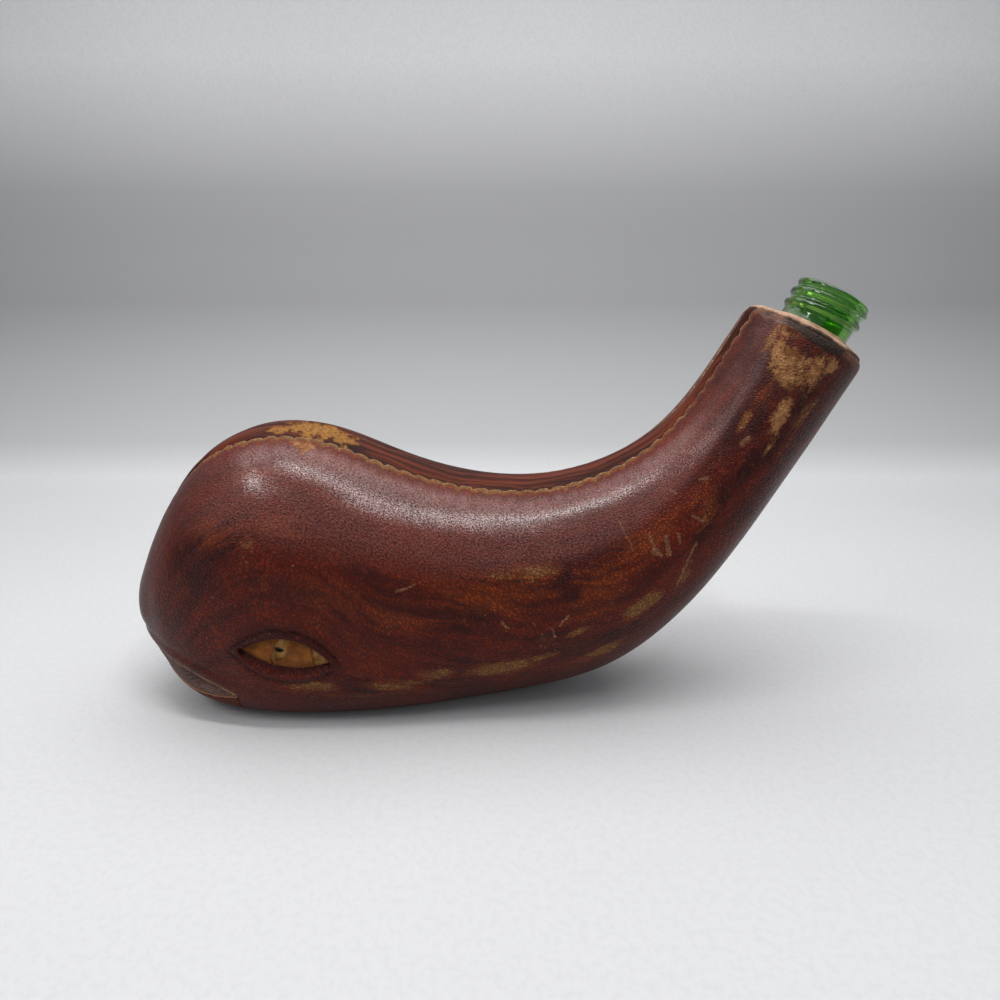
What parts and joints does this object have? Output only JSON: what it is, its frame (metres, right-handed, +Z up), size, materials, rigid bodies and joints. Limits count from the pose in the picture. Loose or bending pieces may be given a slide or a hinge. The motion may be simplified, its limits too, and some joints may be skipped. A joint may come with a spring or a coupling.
{
  "type": "leather-wrapped decanter",
  "caption": "Whale-shaped glass decanter wrapped in moulded leather panels with scalloped seams; its slanted open neck stands up like a raised tail.",
  "frame": {"origin": "on the floor, under the middle of the overall box", "axes": "+X from the snout towards the neck's end, +Z up, -Y the whale's left side, which the picture shows"},
  "size_m": [0.2652, 0.0838, 0.1563],
  "materials": {
    "glass": "clear green blown glass, wavy and smooth",
    "panel_leather": "dark red-brown moulded cowhide, semi-gloss, scuffed",
    "strip_leather": "darker red-brown leather strip, semi-gloss",
    "tooled_leather": "grey-purple leather tooled with fine slanting lines",
    "collar_leather": "dry pinkish-brown leather with pale cut edges",
    "backing_leather": "raw tan leather, matt",
    "raw_leather": "ochre leather, torn, matt"
  },
  "bodies": {
    "root": {"glass_bottle": "glass", "side_panel_left": "panel_leather", "side_panel_right": "panel_leather", "back_strip": "strip_leather", "belly_strip": "strip_leather", "lower_jaw": "tooled_leather", "neck_collar": "collar_leather", "eye_backing_left": "backing_leather", "eye_backing_right": "backing_leather", "eye_front_left": "raw_leather", "eye_front_right": "raw_leather", "eye_rear_left": "raw_leather", "eye_rear_right": "raw_leather"}
  },
  "joints": []
}
